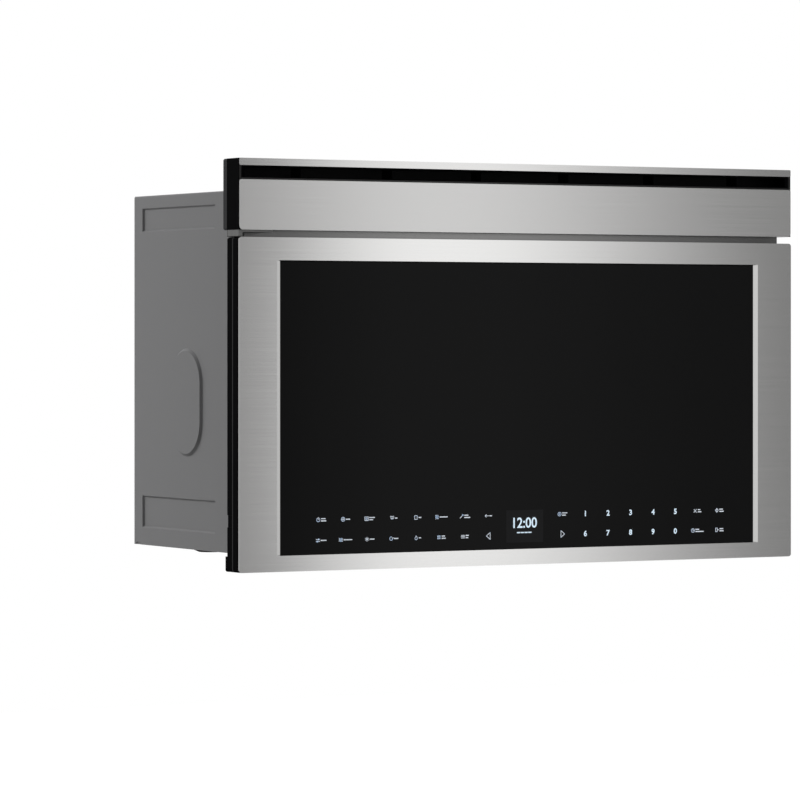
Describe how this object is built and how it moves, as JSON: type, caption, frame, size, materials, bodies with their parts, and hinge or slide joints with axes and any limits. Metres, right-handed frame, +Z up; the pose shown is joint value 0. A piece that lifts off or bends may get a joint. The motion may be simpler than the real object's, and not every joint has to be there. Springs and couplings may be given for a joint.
{
  "type": "built-in microwave oven",
  "caption": "Microwave oven with vent hood for mounting under a wall cabinet: brushed steel front, black glass door hinged at the left, touch controls along its foot.",
  "frame": {"origin": "on the wall plane at the back, in the middle of the oven's width, level with the door's bottom edge", "axes": "+X to the right as seen from the front, +Y to the wall, +Z up; the front faces -Y"},
  "size_m": [0.7588, 0.3239, 0.4731],
  "materials": {
    "steel_front": "horizontal brushed finish",
    "case_paint": "satin paint",
    "zinc_sheet": "galvanised sheet",
    "frame_paint": "satin black",
    "hinge_metal": "grainy zinc finish",
    "bright_steel": "bright plated",
    "oven_enamel": "semi-gloss enamel",
    "oven_floor": "smooth",
    "fan_metal": "stamped",
    "heater_metal": "heat-darkened",
    "mica": "mica sheet",
    "motor_black": "satin black",
    "transformer_iron": "varnished laminations",
    "capacitor_can": "drawn can",
    "lamp_ceramic": "glazed",
    "brass_fitting": "turned",
    "black_plastic": "fine grain",
    "pale_plastic": "moulded nylon",
    "black_glass": "polished, printed black behind",
    "inner_glass": "clear",
    "board": "printed board",
    "display_black": "smoked",
    "charcoal": "granular",
    "filter_mesh": "expanded mesh",
    "lens_clear": "frosted"
  },
  "bodies": {
    "case": {"outer_wrapper": "case_paint", "base_plate": "case_paint", "base_plugs": "case_paint", "rear_panel": "zinc_sheet", "wall_mounting_plate": "zinc_sheet", "front_frame": "zinc_sheet", "front_rail": "zinc_sheet", "oven_cavity": "oven_enamel", "cavity_floor": "oven_floor", "fan_cover": "fan_metal", "convection_motor": "motor_black", "convection_heater": "heater_metal", "waveguide": "zinc_sheet", "magnetron": "fan_metal", "stirrer_motor": "motor_black", "stirrer_cover": "mica", "broil_element": "heater_metal", "cavity_lamp": "lamp_ceramic", "probe_jack": "brass_fitting", "power_transformer": "transformer_iron", "hv_capacitor": "capacitor_can", "cooling_motor": "motor_black", "circuit_boards": "board", "cord_gland": "black_plastic", "blower_housing": "zinc_sheet", "blower_motor": "motor_black", "exhaust_adapter": "zinc_sheet", "hood_frame": "frame_paint", "hood_caps": "black_plastic", "hood_panel": "steel_front", "top_bar": "steel_front", "vent_grille": "black_plastic", "charcoal_filter": "charcoal", "upper_hinge": "hinge_metal", "lower_hinge": "hinge_metal", "interlock_bracket": "zinc_sheet", "door_switches": "black_plastic", "release_actuator": "black_plastic", "lamp_lenses": "lens_clear", "lamp_sockets": "black_plastic"},
    "door": {"door_trim": "steel_front", "door_glass": "black_glass", "door_frame": "black_plastic", "door_choke": "frame_paint", "door_cover": "black_plastic", "door_inner_glass": "inner_glass", "touch_board": "board", "display_module": "display_black", "lower_hinge_pin": "bright_steel"},
    "latch": {"latch_hooks": "pale_plastic"},
    "release": {"release_plunger": "pale_plastic"},
    "buttons": {"switch_buttons": "pale_plastic"},
    "stirrer": {"stirrer": "fan_metal"},
    "cooling_fan": {"cooling_fan": "black_plastic"},
    "convection_fan": {"convection_fan": "fan_metal"},
    "blower": {"blower_wheels": "black_plastic"},
    "damper": {"damper_flap": "zinc_sheet"},
    "filter_left": {"grease_filter_left": "filter_mesh"},
    "filter_right": {"grease_filter_right": "filter_mesh"},
    "rack": {"oven_rack": "bright_steel"}
  },
  "joints": [
    {"name": "door_hinge", "type": "hinge", "parent": "case", "child": "door", "pos_m": [-0.36791, -0.30045, 0.2], "axis": [0, 0, -1], "range_deg": [0, 105]},
    {"name": "release_slide", "type": "slide", "parent": "case", "child": "release", "axis": [0, 0, 1], "range_m": [-0.004, 0]},
    {"name": "latch_slide", "type": "slide", "parent": "door", "child": "latch", "axis": [0, 0, 1], "range_m": [-0.004, 0]},
    {"name": "button_press", "type": "slide", "parent": "case", "child": "buttons", "axis": [0, 0, 1], "range_m": [-0.0012, 0]},
    {"name": "stirrer_spin", "type": "hinge", "parent": "case", "child": "stirrer", "pos_m": [-0.075, -0.17685, 0.34], "axis": [0, 0, 1], "continuous": true},
    {"name": "cooling_fan_spin", "type": "hinge", "parent": "case", "child": "cooling_fan", "pos_m": [0.2978, -0.03, 0.176], "axis": [0, 1, 0], "continuous": true},
    {"name": "convection_fan_spin", "type": "hinge", "parent": "case", "child": "convection_fan", "pos_m": [-0.04, -0.05, 0.2145], "axis": [0, 1, 0], "continuous": true},
    {"name": "blower_spin", "type": "hinge", "parent": "case", "child": "blower", "pos_m": [0, -0.062, 0.386], "axis": [1, 0, 0], "continuous": true},
    {"name": "damper_swing", "type": "hinge", "parent": "case", "child": "damper", "pos_m": [0, -0.02523, 0.44315], "axis": [-1, 0, 0], "range_deg": [0, 70]},
    {"name": "filter_left_drop", "type": "hinge", "parent": "case", "child": "filter_left", "pos_m": [-0.13, -0.0575, 0.02015], "axis": [1, 0, 0], "range_deg": [0, 70]},
    {"name": "filter_right_drop", "type": "hinge", "parent": "case", "child": "filter_right", "pos_m": [0.13, -0.0575, 0.02015], "axis": [1, 0, 0], "range_deg": [0, 70]},
    {"name": "rack_lift", "type": "slide", "parent": "case", "child": "rack", "axis": [0, 0, 1], "range_m": [0, 0.015]}
  ],
  "couplings": [
    {"joint": "latch_slide", "follows": "release_slide", "ratio": 1},
    {"joint": "button_press", "follows": "release_slide", "ratio": 0.3}
  ]
}
